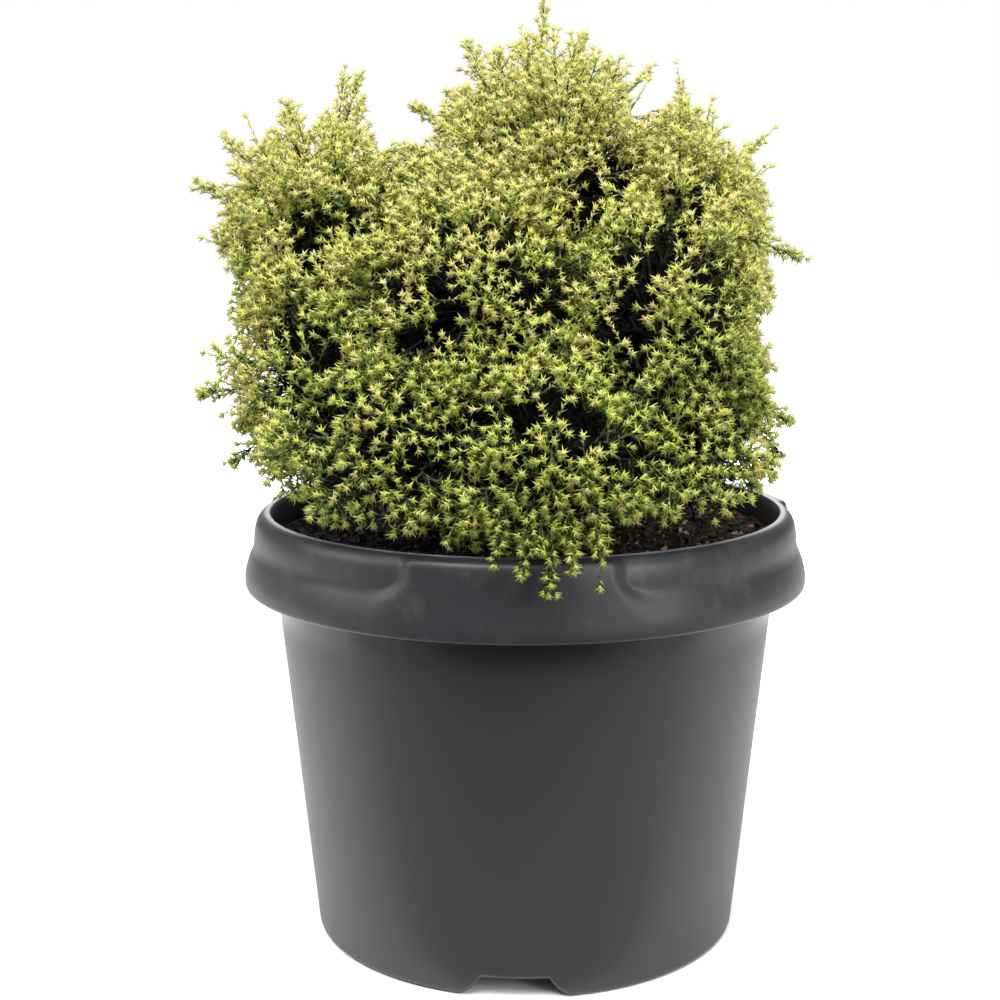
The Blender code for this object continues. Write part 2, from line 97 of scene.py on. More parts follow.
# A ring is added in edit mode and extruded row by row. Each row is set where place(row, column)
# says, and the first and last rows are closed to the two poles
def growRings(name, columns, rows, place, firstPole, lastPole):
    deselect()
    bpy.ops.mesh.primitive_circle_add(vertices=columns, radius=1.0, fill_type="TRIFAN")
    obj = bpy.context.object
    obj.name = obj.data.name = name
    bpy.ops.object.mode_set(mode="EDIT")
    bpy.ops.mesh.select_mode(type="VERT")
    mesh = bmesh.from_edit_mesh(obj.data)
    layer = mesh.verts.layers.int.new("column")
    for v in mesh.verts:
        if v.co.length < 0.5:
            v.co = firstPole
            v.select_set(False)
        else:
            v[layer] = round(math.atan2(v.co.y, v.co.x) / math.tau * columns) % columns
    mesh.select_flush(False)
    for row in range(rows):
        if row > 0:
            bpy.ops.mesh.extrude_region_move()
            mesh = bmesh.from_edit_mesh(obj.data)
            layer = mesh.verts.layers.int["column"]
        for v in mesh.verts:
            if v.select:
                v.co = place(row, v[layer])
        bmesh.update_edit_mesh(obj.data)
    bpy.ops.mesh.extrude_region_move()
    mesh = bmesh.from_edit_mesh(obj.data)
    for v in mesh.verts:
        if v.select:
            v.co = lastPole
    bpy.ops.mesh.merge(type="CENTER")
    bpy.ops.mesh.select_all(action="SELECT")
    bpy.ops.mesh.normals_make_consistent(inside=False)
    bpy.ops.mesh.select_all(action="DESELECT")
    bpy.ops.object.mode_set(mode="OBJECT")
    obj.data.attributes.remove(obj.data.attributes["column"])
    deselect()
    return obj


def smoothShade(obj, degrees):
    deselect()
    obj.select_set(True)
    bpy.context.view_layer.objects.active = obj
    bpy.ops.object.shade_smooth_by_angle(angle=math.radians(degrees))
    deselect()


# One mesh of many small shapes, each with these corners, this pattern of faces and one tone
def meshPiece(name, corners, pattern, tones, finishes):
    faces = np.arange(len(corners))[:, None, None] * corners.shape[1] + np.array(pattern)
    count, sides = faces[..., 0].size, faces.shape[2]
    mesh = bpy.data.meshes.new(name)
    mesh.vertices.add(corners[..., 0].size)
    mesh.vertices.foreach_set("co", corners.astype(np.float32).ravel())
    mesh.loops.add(faces.size)
    mesh.loops.foreach_set("vertex_index", faces.astype(np.int32).ravel())
    mesh.polygons.add(count)
    mesh.polygons.foreach_set("loop_start", np.arange(count, dtype=np.int32) * sides)
    for finish in finishes:
        mesh.materials.append(finish)
    mesh.polygons.foreach_set("material_index", np.repeat(tones, len(pattern)).astype(np.int32))
    mesh.update(calc_edges=True)
    obj = bpy.data.objects.new(name, mesh)
    bpy.context.scene.collection.objects.link(obj)
    return obj


# Pot

pot = {
    "columns": 720,
    "baseR": 0.1048,
    "wallRise": 0.1015,       # how much the radius grows for each metre up
    "wallT": 0.0020,
    "lipR": 0.1245,
    "lipTop": 0.2100,
    "rimR": 0.1378,
    "innerFoot": 0.0060,      # the straight inner wall runs between these heights
    "innerTop": 0.2086,
    "channelTop": 0.2010,     # where the hollow under the rim meets the wall
    "cornerR": 0.0038,
    "notchHeight": 0.0095,
    "notchTop": 8.6,          # half widths of a drain notch at its top and foot, in degrees
    "notchFoot": 15.2,
    "pocketR": 0.0800,
    "pocketRamp": 0.0080,
    "frontTurn": -2.6,        # the front notch and raised part stand a little left of the middle
    "raisedHalf": 20.0,       # half width of a raised part of the rim, in degrees
    "faceR": 0.134,           # radius at which a panel's width is measured
    "panelEndBlend": 0.0085,  # width of the fillet at a panel's ends, and of the bulge at its foot
    "panelFootBlend": 0.0170,
    "panelFoot": 0.1880,
    "panelCornerWide": 0.0230,
    "panelCornerTall": 0.0140,
    "drainR": 0.0045,
    "drainAt": 0.0905,
}

# The rim from the lip down, (radius, height) in mm: in a grip panel, and on a raised part
panelFace = ((125.0, 210.1), (125.9, 210.3), (127.0, 210.1), (128.3, 209.5), (129.6, 208.5), (130.8, 207.0),
             (131.7, 205.2), (132.3, 203.0), (132.7, 200.6), (132.9, 198.2), (133.1, 195.6), (133.3, 193.2),
             (133.5, 190.8), (133.8, 188.6), (134.1, 186.4), (134.7, 183.6), (135.4, 180.4), (136.0, 178.2))
raisedFace = ((125.0, 210.1), (125.9, 210.3), (127.2, 210.0), (129.2, 209.7), (131.4, 209.3),
              (133.0, 208.6), (133.9, 207.4), (134.4, 205.8), (134.8, 203.6), (135.2, 201.2),
              (135.5, 198.8), (135.8, 196.4), (136.1, 193.8), (136.4, 191.2), (136.8, 188.0),
              (137.2, 184.4), (137.6, 180.8), (137.75, 178.2))
rimEdge = ((137.7, 176.4), (137.3, 175.3), (136.4, 174.7), (135.2, 174.6), (133.8, 174.8), (133.3, 175.6),
           (133.0, 184.0), (132.4, 191.0), (130.9, 198.0), (128.4, 202.4), (126.2, 202.3))


def wallR(z):
    return pot["baseR"] + pot["wallRise"] * z


def innerR(z):
    floorR = wallR(pot["innerFoot"]) - pot["wallT"]
    return floorR + (pot["lipR"] - floorR) * (z - pot["innerFoot"]) / (pot["innerTop"] - pot["innerFoot"])


# The level direction at an angle from the front notch
def outAt(angle):
    angle += math.radians(pot["frontTurn"])
    return math.sin(angle), -math.cos(angle)


# How far an angle is from the middle of its third of the pot, in degrees
def offMiddle(angle):
    return abs((math.degrees(angle) + 60) % 120 - 60)


# A smooth run of points through these, with this many steps between two of them
def smoothRun(points, steps):
    keys = np.array([points[0], *points, points[-1]], float)
    made = []
    for i in range(1, len(keys) - 2):
        a, b, c, d = keys[i - 1:i + 3]
        for t in np.arange(steps) / steps:
            made.append(0.5 * (2 * b + (c - a) * t + (2 * a - 5 * b + 4 * c - d) * t**2
                               + (3 * b - a - 3 * c + d) * t**3))
    return np.array(made + [keys[-2]])


# How far a column stands in a notch, from 0 to 1
def notchShare(turn):
    along = min(1.0, max(0.0, (turn - pot["notchTop"]) / (pot["notchFoot"] - pot["notchTop"])))
    return (1 - along) ** 2


# How far a place on the rim is out of the grip panel, from 0 to 1, by its distance from the panel's
# edge. The panel is open at the lip, and its lower corners are parts of an ellipse
def raisedShare(turn, z):
    inward = math.radians(turn - pot["raisedHalf"]) * pot["faceR"]
    over = z - pot["panelFoot"]
    wide, tall = pot["panelCornerWide"], pot["panelCornerTall"]
    if inward < wide and over < tall:
        u, v = (wide - inward) / wide, (tall - over) / tall
        far = math.hypot(u, v)
        within = (1 - far) * far / max(1e-6, math.hypot(u / wide, v / tall))
        foot = (v / far) ** 2
    else:
        within = min(inward, over)
        foot = 1.0 if over < tall else 0.0
    half = (pot["panelEndBlend"] + (pot["panelFootBlend"] - pot["panelEndBlend"]) * foot) / 2
    return 1 - smoothstep(-half, half, within)


# The pot's outline, from the middle of its foot out, up, over the rim and down the inside. Each row
# gives (radius, height) for a column's lift over a notch and its turn from the middle of its third
def potRows():
    corner = pot["cornerR"]
    rows = [lambda lift, turn: (pot["pocketR"] - pot["pocketRamp"], 0.0),
            lambda lift, turn: (pot["pocketR"], lift)]
    for a in np.linspace(0, math.pi / 2, 7):
        rows.append(lambda lift, turn, a=a: (
            wallR(lift + corner) - corner * (1 - math.sin(a)), lift + corner * (1 - math.cos(a))))
    for share in (0.02, 0.05, 0.1, 0.2, 0.32, 0.44, 0.56, 0.68, 0.8, 0.92, 1.0):
        def wall(lift, turn, share=share):
            z = lift + corner + (pot["channelTop"] - lift - corner) * share
            return wallR(z), z
        rows.append(wall)
    for r, z in smoothRun(rimEdge[::-1], 2):
        rows.append(lambda lift, turn, r=r / 1000, z=z / 1000: (r, z))
    panels = smoothRun(panelFace[::-1], 3) / 1000
    raised = smoothRun(raisedFace[::-1], 3) / 1000
    for low, high in zip(panels, raised):
        rows.append(lambda lift, turn, low=low, high=high: low + (high - low) * raisedShare(turn, low[1]))
    deep = pot["innerFoot"] - pot["innerTop"]
    for share in (0.0, 0.02, 0.06, 0.5, 1.0):
        rows.append(lambda lift, turn, share=share: (
            innerR(pot["innerTop"] + deep * share), pot["innerTop"] + (deep + lift) * share))
    return rows + [lambda lift, turn: (pot["baseR"] - corner, lift + pot["wallT"]),
                   lambda lift, turn: (pot["pocketR"], lift + pot["wallT"]),
                   lambda lift, turn: (pot["pocketR"] - pot["pocketRamp"], pot["wallT"])]


def makePot(finish):
    rows = potRows()

    def place(row, column):
        angle = math.tau * column / pot["columns"]
        turn = offMiddle(angle)
        r, z = rows[row](notchShare(turn) * pot["notchHeight"], turn)
        x, y = outAt(angle)
        return Vector((r * x, r * y, z))

    body = growRings("nursery_pot", pot["columns"], len(rows), place, (0, 0, 0), (0, 0, pot["wallT"]))
    for third in range(3):
        x, y = outAt(math.tau * third / 3)
        at = (pot["drainAt"] * x, pot["drainAt"] * y, pot["notchHeight"])
        bpy.ops.mesh.primitive_cylinder_add(vertices=32, radius=pot["drainR"], depth=2 * pot["notchHeight"],
                                            location=at)
        drill = bpy.context.object
        cut = body.modifiers.new("drain", "BOOLEAN")
        cut.object = drill
        deselect()
        bpy.context.view_layer.objects.active = body
        bpy.ops.object.modifier_apply(modifier=cut.name)
        bpy.data.objects.remove(drill)
    body.data.materials.clear()
    body.data.materials.append(finish)
    smoothShade(body, 28)
    finishPiece(body, "pot_plastic", "pot")
    print("pot:", len(body.data.polygons), "faces")


# Injection-moulded polypropylene, dull and faintly mottled, with dried mix in a thin brown haze on the rim.
# Where the rim shelters the wall it is smooth and carries painted shade, near black, and a pale line at the
# lip is a painted highlight
def mouldedPolypropylene():
    made, tree, shader = newMaterial("moulded_polypropylene", "#1c1d20", 0.46, 1.49)
    spot = addNode(tree, "TexCoord", output="Object")
    z = addNode(tree, "SeparateXYZ", {"Vector": spot}, "Z")
    mottle = addNode(tree, "TexNoise", {"Vector": spot, "Scale": 1 / 0.045, "Detail": 3.0}, "Fac")
    grain = addNode(tree, "TexNoise", {"Vector": spot, "Scale": 1 / 0.0012, "Detail": 2.0}, "Fac")
    dust = addNode(tree, "TexNoise",
                   {"Vector": spot, "Scale": 1 / 0.022, "Detail": 6.0, "Roughness": 0.7}, "Fac")
    # The band of painted shade under the rim fades out down the wall and ends at the rim's edge
    below = addNode(tree, "MapRange",
                    {"Value": z, "From Min": 0.152, "From Max": 0.170}, interpolation_type="SMOOTHSTEP")
    above = addNode(tree, "MapRange", {"Value": z, "From Min": 0.1770, "From Max": 0.1742})
    underRimShade = addNode(tree, "Math", {0: below, 1: above}, "Value", operation="MULTIPLY")
    # The haze lies in patches on the rim, and a painted highlight runs along the lip's crest
    dusty = addNode(tree, "MapRange", {"Value": dust, "From Min": 0.52, "From Max": 0.78, "To Max": 0.34})
    rim = addNode(tree, "MapRange", {"Value": z, "From Min": 0.165, "From Max": 0.19})
    haze = addNode(tree, "Math", {0: dusty, 1: rim}, "Value", operation="MULTIPLY")
    # A pale line painted on the lip's crest: a painted highlight
    lip = addNode(tree, "MapRange", {"Value": z, "From Min": 0.2098, "From Max": 0.2102, "To Max": 0.85})
    colour = addNode(tree, "Mix", {"Factor": mottle, "A": "#191a1d", "B": "#1f2024"}, data_type="RGBA")
    # Over the mottle go the painted shade under the rim, the dust haze and the painted highlight at the lip
    for share, layer in ((underRimShade, "#08080a"), (haze, "#5b5149"), (lip, "#707174")):
        colour = addNode(tree, "Mix", {"Factor": share, "A": colour, "B": layer}, data_type="RGBA")
    scuffs = addNode(tree, "MapRange", {"Value": mottle, "To Min": 0.42, "To Max": 0.50})
    gloss = addNode(tree, "MapRange", {"Value": underRimShade, "To Min": scuffs, "To Max": 0.24})
    bump = addNode(tree, "Bump", {"Height": grain, "Strength": 0.12, "Distance": 0.0002}, "Normal")
    setInputs(shader, {"Base Color": colour, "Roughness": gloss, "Normal": bump})
    return made


# Potting mix

mix = {
    "columns": 150,
    "rings": 46,
    "top": 0.1975,
    "edgeDrop": 0.0008,
    "lump": 0.0020,
    "gap": 0.0003,
    "pocketGap": 0.0006,
    "footGap": 0.0008,
    "notchGap": 3.0,          # how much wider than a notch the bed is lifted, in degrees
    "chips": 5200,
    "chipSmall": 0.0012,
    "chipLarge": 0.0046,
    "chipEdge": 0.003,        # how far the chips' middles keep from the wall and from the trunk
    "trunkClear": 0.014,
    "shadeLeftOf": -0.02,          # the chips are darker left of here: painted shade
}
# The chips' colours, with the share of each in the painted shade at the left and elsewhere
chipTones = {
    "chip_black": ("#110c09", 0.72, 0.34),
    "chip_brown": ("#291912", 0.20, 0.36),
    "chip_red": ("#4a2a1b", 0.07, 0.21),
    "chip_tan": ("#9a8571", 0.01, 0.09),
}


def mixHeight(x, y):
    wide = noise.noise(Vector((x * 38, y * 38, 4.2)))
    fine = noise.noise(Vector((x * 210, y * 210, 1.7)))
    return mix["top"] + mix["lump"] * (0.6 * wide + 0.45 * fine)


def makeBed(finish, edgeR, edgeZ):
    bottomZ = pot["wallT"] + mix["gap"]

    def place(row, column):
        angle = math.tau * column / mix["columns"]
        out = Vector((*outAt(angle), 0))
        lift = notchShare(max(0.0, offMiddle(angle) - mix["notchGap"])) * pot["notchHeight"] + bottomZ
        foot = ((pot["pocketR"] - pot["pocketRamp"], bottomZ), (pot["pocketR"] - mix["pocketGap"], lift),
                (pot["baseR"] - pot["cornerR"] - mix["footGap"], lift), (edgeR, edgeZ))
        if row < len(foot):
            return out * foot[row][0] + Vector((0, 0, foot[row][1]))
        spot = out * edgeR * (1 - (row - 3) / (mix["rings"] + 1))
        return Vector((spot.x, spot.y, mixHeight(spot.x, spot.y)))

    bed = growRings("potting_mix", mix["columns"], mix["rings"] + 4, place, (0, 0, bottomZ),
                    (0, 0, mix["top"]))
    bed.data.materials.append(finish)
    smoothShade(bed, 60)
    finishPiece(bed, "potting_mix", "soil")
    print("potting mix:", len(bed.data.polygons), "faces")


# Uneven blocks of bark, scattered and turned at random over the bed
def makeChips(edgeR):
    rng = np.random.default_rng([seed, 11])
    corners = np.array([(x, y, z) for x in (-1, 1) for y in (-1, 1) for z in (-1, 1)], float)
    sides = ((0, 1, 3, 2), (4, 6, 7, 5), (0, 4, 5, 1), (2, 3, 7, 6), (0, 2, 6, 4), (1, 5, 7, 3))
    _, shadedShares, otherShares = zip(*chipTones.values())
    points, tones = [], []
    while len(points) < mix["chips"]:
        angle = rng.uniform(0, math.tau)
        r = (edgeR - mix["chipEdge"]) * math.sqrt(rng.uniform(0, 1))
        x, y = r * math.sin(angle), -r * math.cos(angle)
        size = mix["chipSmall"] + (mix["chipLarge"] - mix["chipSmall"]) * rng.uniform(0, 1) ** 2.6
        half = size / 2 * np.array((1.0, rng.uniform(0.4, 0.8), rng.uniform(0.22, 0.5)))
        turn = rng.normal(size=(3, 3)) * (1, 1, 0.55)
        axes, _ = np.linalg.qr(turn)
        if np.linalg.det(axes) < 0:
            axes[:, 0] *= -1
        shape = corners * half * (1 + rng.normal(size=(8, 3)) * 0.16)
        deep = rng.uniform(-0.1, 0.5)
        # On the left of the bed the darker chips are dealt more often: painted shade
        tone = rng.choice(len(chipTones), p=shadedShares if x < mix["shadeLeftOf"] else otherShares)
        if math.hypot(x - stem["foot"].x, y - stem["foot"].y) >= mix["trunkClear"]:
            points.append(shape @ axes.T + (x, y, mixHeight(x, y) + half[2] * deep))
            tones.append(tone)
    finishes = [newMaterial(name, colour, 0.85)[0] for name, (colour, _, _) in chipTones.items()]
    chips = meshPiece("bark_chips", np.array(points), sides, tones, finishes)
    chips.data.shade_flat()
    finishPiece(chips, "potting_mix")
    print("bark chips:", mix["chips"])


def makeMix(finish):
    edgeZ = mix["top"] - mix["edgeDrop"]
    edgeR = innerR(edgeZ) - 2 * mix["gap"]
    makeBed(finish, edgeR, edgeZ)
    makeChips(edgeR)


# Damp composted bark and peat, near black with reddish fibres
def dampPottingMix():
    made, tree, shader = newMaterial("damp_potting_mix", "#1d120d", 0.92)
    spot = addNode(tree, "TexCoord", output="Object")
    crumbs = addNode(tree, "TexVoronoi", {"Vector": spot, "Scale": 1 / 0.0024}, "Distance")
    patches = addNode(tree, "TexNoise", {"Vector": spot, "Scale": 1 / 0.014, "Detail": 5.0}, "Fac")
    share = addNode(tree, "MapRange", {"Value": patches, "From Min": 0.35, "From Max": 0.75})
    colour = addNode(tree, "Mix", {"Factor": share, "A": "#0e0907", "B": "#311d14"}, data_type="RGBA")
    bump = addNode(tree, "Bump", {"Height": crumbs, "Strength": 0.9, "Distance": 0.0012}, "Normal")
    setInputs(shader, {"Base Color": colour, "Normal": bump})
    return made


# Stem and boughs

stem = {
    "foot": Vector((-0.006, 0.004, 0.1978)),
    "bow": Vector((-0.010, 0.002, 0.2650)),
    "tip": Vector((0.001, 0.012, 0.3300)),
    "r": 0.0074,
    "tipR": 0.0030,
    "flareR": 0.0048,
    "flareH": 0.0150,
    "columns": 56,
    "rows": 110,
    "relief": 0.0006,         # depth of the bark's strips
}
bough = {
    "r": 0.0036,
    "tipR": 0.0022,
    "endShare": 0.84,
    "columns": 22,
    "rows": 44,
    "relief": 0.00030,
    "bendOut": 0.45,          # where the limb bends, as shares of its length out and of its rise
    "bendUp": 0.2,
}


def bezier(a, b, c, t):
    return a * (1 - t) ** 2 + b * (2 * t * (1 - t)) + c * t**2


def stemAt(t):
    return bezier(stem["foot"], stem["bow"], stem["tip"], t)


def stemR(t):
    height = stemAt(t).z - stem["foot"].z
    flare = stem["flareR"] * max(0.0, 1 - height / stem["flareH"]) ** 2
    return stem["r"] + (stem["tipR"] - stem["r"]) * t + flare


# Strips of stringy bark: ridges that run along the limb and wander a little, and finer cracks
def barkRelief(angle, along, offset):
    wander = noise.noise(Vector((along * 60, offset, 3.1))) * 0.7
    relief = 0.0
    for share, girth, pitch, shift in ((0.7, 2.6, 42, wander), (0.3, 6.76, 160, 0.0)):
        relief += share * noise.noise(Vector((math.cos(angle + shift) * girth,
                                              math.sin(angle + shift) * girth, along * pitch + offset)))
    return relief


# A limb of these measures along a path, with its bark modelled
def makeLimb(name, path, radius, shape, level, offset, finish, node):
    steps = [k / (shape["rows"] - 1) for k in range(shape["rows"])]
    centres = [path(t) for t in steps]
    frames = []
    spoke = None
    for k, centre in enumerate(centres):
        way = (centres[min(k + 1, len(steps) - 1)] - centres[max(k - 1, 0)]).normalized()
        way = level.lerp(way, min(1.0, k / 4)).normalized()
        spoke = way.orthogonal() if spoke is None else spoke
        spoke = (spoke - way * spoke.dot(way)).normalized()
        frames.append((centre, spoke, way.cross(spoke)))

    def place(row, column):
        centre, across, side = frames[row]
        angle = math.tau * column / shape["columns"]
        ends = min(1.0, row / 3, (shape["rows"] - 1 - row) / 3)
        relief = shape["relief"] * barkRelief(angle, centre.length, offset) * ends
        return centre + (across * math.cos(angle) + side * math.sin(angle)) * (radius(steps[row]) + relief)

    limb = growRings(name, shape["columns"], shape["rows"], place, centres[0], centres[-1])
    limb.data.materials.append(finish)
    smoothShade(limb, 60)
    finishPiece(limb, "bark", node)


# Stringy red-brown cedar bark, dull, with pale weathered ridges
def cedarBark():
    made, tree, shader = newMaterial("cedar_bark", "#5a3826", 0.86)
    spot = addNode(tree, "TexCoord", output="Object")
    stretch = addNode(tree, "Mapping", {"Vector": spot, "Scale": (1.0, 1.0, 0.22)}, "Vector")
    strips = addNode(tree, "TexNoise",
                     {"Vector": stretch, "Scale": 1 / 0.0016, "Detail": 6.0, "Roughness": 0.62}, "Fac")
    share = addNode(tree, "MapRange", {"Value": strips, "From Min": 0.34, "From Max": 0.70})
    colour = addNode(tree, "Mix", {"Factor": share, "A": "#2e1a11", "B": "#83563b"}, data_type="RGBA")
    bump = addNode(tree, "Bump", {"Height": strips, "Strength": 0.7, "Distance": 0.0005}, "Normal")
    setInputs(shader, {"Base Color": colour, "Normal": bump})
    return made


# Foliage

# Each mass as the CAD has it: centre, outer radii, height of its bough on the stem, sag of its
# sprays, and its long leaders as (compass angle from +X, angle above level, reach). Upper masses'
# needles fill leafRadii round leafAt, forward over the seams, and strands are more leaders
masses = {
    "top": {"at": (0.003, 0.010, 0.366), "radii": (0.070, 0.056, 0.073), "bough": None, "sag": 0.0,
        "pitch": 0.0158, "leafAt": (0.012, -0.006, 0.363), "leafRadii": (0.067, 0.068, 0.072),
        "leaders": ((0, 86, 0.0845), (170, 65, 0.073), (10, 43, 0.078), (186, 14, 0.066)),
        "strands": ((0, 70, 0.074), (110, 81, 0.066), (250, 80, 0.064), (178, 33, 0.069),
                    (172, 48, 0.058))},
    "left_shoulder": {"at": (-0.098, 0.002, 0.340), "radii": (0.055, 0.054, 0.062), "bough": 0.262,
        "sag": 0.0, "pitch": 0.0160, "leafAt": (-0.096, -0.010, 0.341),
        "leafRadii": (0.047, 0.058, 0.064),
        "leaders": ((20, 81, 0.080), (172, 46, 0.068), (180, 24, 0.065)),
        "strands": ((10, 76, 0.079), (40, 70, 0.070), (150, 74, 0.068))},
    "right_shoulder": {"at": (0.074, 0.006, 0.350), "radii": (0.046, 0.052, 0.054), "bough": 0.270,
        "sag": 0.0, "pitch": 0.0160, "leafAt": (0.073, -0.008, 0.345),
        "leafRadii": (0.040, 0.058, 0.055),
        "leaders": ((90, 88, 0.063), (10, 42, 0.054), (-5, -17, 0.059))},
    "front_middle": {"at": (-0.022, -0.064, 0.310), "radii": (0.066, 0.054, 0.062), "bough": 0.243,
        "sag": 0.004},
    "front_right": {"at": (0.058, -0.060, 0.304), "radii": (0.054, 0.050, 0.058), "bough": 0.236,
        "sag": 0.004},
    "left_side": {"at": (-0.086, -0.040, 0.274), "radii": (0.055, 0.058, 0.054), "bough": 0.232,
        "sag": 0.006, "leaders": ((182, 2, 0.063), (195, -30, 0.060))},
    "right_side": {"at": (0.075, -0.010, 0.280), "radii": (0.050, 0.054, 0.050), "bough": 0.228,
        "sag": 0.006, "leafAt": (0.072, -0.012, 0.280), "leafRadii": (0.044, 0.054, 0.050),
        "leaders": ((-6, -21, 0.055), (-8, -38, 0.060))},
    "left_skirt": {"at": (-0.054, -0.084, 0.247), "radii": (0.056, 0.044, 0.048), "bough": 0.222,
        "sag": 0.010},
    "front_skirt": {"at": (0.009, -0.102, 0.250), "radii": (0.050, 0.046, 0.053), "bough": 0.2125,
        "sag": 0.030, "leaders": ((-89, -24, 0.0505), (-116, -7, 0.050), (-64, -8, 0.050)),
        "strands": ((-103, -14, 0.047), (-76, -12, 0.048))},
    "right_skirt": {"at": (0.064, -0.068, 0.242), "radii": (0.048, 0.044, 0.045), "bough": 0.220,
        "sag": 0.010},
    "back_left": {"at": (-0.058, 0.070, 0.308), "radii": (0.060, 0.060, 0.062), "bough": 0.250, "sag": 0.002,
        "pitch": 0.0160, "leaders": ((120, 50, 0.068),)},
    "back_right": {"at": (0.044, 0.070, 0.318), "radii": (0.060, 0.060, 0.062), "bough": 0.252, "sag": 0.002,
        "pitch": 0.0160, "leaders": ((60, 40, 0.066),)},
    "back_low_left": {"at": (-0.068, 0.056, 0.249), "radii": (0.060, 0.058, 0.048), "bough": 0.217,
        "sag": 0.008, "leaders": ((150, 0, 0.062),)},
    "back_low_right": {"at": (0.052, 0.062, 0.251), "radii": (0.060, 0.058, 0.050), "bough": 0.214,
        "sag": 0.008, "leaders": ((50, 0, 0.062),)},
}
growth = {
    "lump": 0.06,
    "melt": 5.0,              # how softly the masses flow together at their seams, less at the outline
    "meltOutline": 2.2,
    "meltMost": 1.35,
    "branchPitch": 0.0178,    # distance between branchlets at the crown's skin, finer than the CAD's
    "branchLeast": 0.42,      # a branchlet that the next mass cuts shorter than this share is left out
    "sagMost": 0.16,
    "branchR": 0.0007,
    "massStemR": 0.0021,
    "wander": 0.0025,         # how far a branchlet's bend strays
    "endShoot": 0.0086,
    "spur": 0.0110,           # how far the longest end shoots stand out of the skin
    "shootLeast": 0.0040,
    "shootR": 0.00042,
    "bodyNeedles": 8,
    "needleLong": 0.0034,
    "needleWide": 0.00112,
    "needleSlim": 0.14,       # how much slimmer the lowest needles are
    "starRays": 8,            # needles of the star at a shoot's tip
    "starLong": 0.0035,
    "skinLow": 0.87,          # how far out a branchlet's tips may stand, as shares of the mass's reach
    "skinHigh": 1.03,
    "skinPlay": 0.03,
    "wallOver": 0.015,        # how far a shoot may lean into the next mass
    "thinInside": 0.72,       # below this share of the reach only every other needle grows
    "potClear": 0.0012,
    "paleFrom": 0.24,         # the needles turn paler, in painted light from above, and smaller over this height and this rise
    "paleRise": 0.16,
    "innerSprays": 125,       # coarse sprays inside a mass, painted shade but at the crown's top, where they are painted lit
    "innerNeedles": 14,
    "innerLong": 0.0085,
    "innerWide": 0.0024,
    "innerLitGreen": 0.350,      # the heights above which they are painted green and lime, as lit from above
    "innerLitLime": 0.375,
    "hemPlay": 0.003,
    "backHem": 0.2185,
}
# A branchlet and a long leader: where each leaves the mass's stem and its shoots begin, as shares,
# how its shoots lean, in degrees, and shorten from foot to tip, and the size of its needles
forms = {
    "branchlet": {"start": 0.42, "shoots": 12, "low": 0.22, "lean": 64, "leanLess": 15,
                  "long": 0.0155, "short": 0.0086, "taper": 1.2, "wide": 1.0},
    "leader": {"start": 0.231, "shoots": 24, "low": 0.10, "lean": 50, "leanLess": 24,
               "long": 0.0112, "short": 0.0042, "taper": 1.0, "wide": 0.90},
}
# Dark hollows between the sprays at the front, (x, z, radius), each this deep below the skin. Inside
# them the inner sprays are painted shade
hollowDeep = 0.024
hollows = ((0.040, 0.370, 0.0095), (0.027, 0.361, 0.0095), (0.024, 0.348, 0.0100), (0.042, 0.340, 0.0090),
           (0.068, 0.359, 0.0100), (0.058, 0.338, 0.0080), (0.018, 0.329, 0.0075), (-0.066, 0.318, 0.0080),
           (-0.050, 0.298, 0.0075), (-0.083, 0.291, 0.0075), (0.046, 0.252, 0.0085),
           (-0.020, 0.268, 0.0055), (0.000, 0.270, 0.0060), (-0.042, 0.247, 0.0070),
           (0.059, 0.277, 0.0065), (-0.035, 0.318, 0.0060), (-0.018, 0.341, 0.0055),
           (0.012, 0.300, 0.0060), (0.036, 0.302, 0.0060))
# Where the sky shows between the lobes, (x, z, radius)
notches = ((-0.0635, 0.4000, 0.0085), (-0.0650, 0.3924, 0.0075), (-0.0672, 0.3855, 0.0055),
           (0.0570, 0.4055, 0.0090), (0.0520, 0.3990, 0.0060))
# How low the foliage hangs, (x, lowest z), read at the front. The drooping strands are in the middle
hem = np.array(((-0.135, 0.238), (-0.105, 0.227), (-0.072, 0.220), (-0.045, 0.2215), (-0.036, 0.2125),
                (-0.018, 0.2110), (-0.014, 0.1920), (0.031, 0.1920), (0.037, 0.2260), (0.065, 0.2210),
                (0.082, 0.2200), (0.098, 0.229), (0.135, 0.240)))
# The tones, from the palest tip to the painted shade inside: each is one plain base colour.
# needle_shade is painted shade, and needle_deep partly painted shade
tones = {
    "needle_cream": ("#b2af62", 0.58),
    "needle_peach": ("#b2a455", 0.58),
    "needle_gold": ("#aaac48", 0.56),
    "needle_lime": ("#9ca945", 0.56),
    "needle_green": ("#6d7f2d", 0.60),
    "needle_deep": ("#344419", 0.75, 1.40),
    "needle_shade": ("#070a04", 0.95, 1.30),
    "needle_bronze": ("#7c4a28", 0.60),
}
cream, peach, gold, lime, green, deep, shade, bronze = range(8)
# The tones of a shoot's tip, body and foot. A shoot takes the first row whose depth it stands out
# beyond, 1 being the crown's skin, and whose share is above its luck. Deeper rows are darker, partly the
# older needles' own colour and partly painted shade, and the share grows up the crown as painted light
dealing = ((0.83, 0.018, 0.00, (bronze, bronze, green)),
           (0.83, 0.080, 0.14, (peach, gold, lime)),
           (0.83, 0.160, 0.60, (cream, gold, lime)),
           (0.83, 0.480, 0.52, (gold, lime, green)),
           (0.83, 1.000, 0.00, (lime, green, deep)),
           (0.66, 0.050, 0.95, (gold, gold, lime)),
           (0.66, 0.300, 1.40, (lime, green, deep)),
           (0.50, 0.000, 1.20, (gold, lime, green)),
           (0.50, 1.000, 0.00, (green, deep, shade)),
           (-9.0, 1.000, 0.00, (deep, shade, shade)))
dealt = np.array([row[3] for row in dealing])


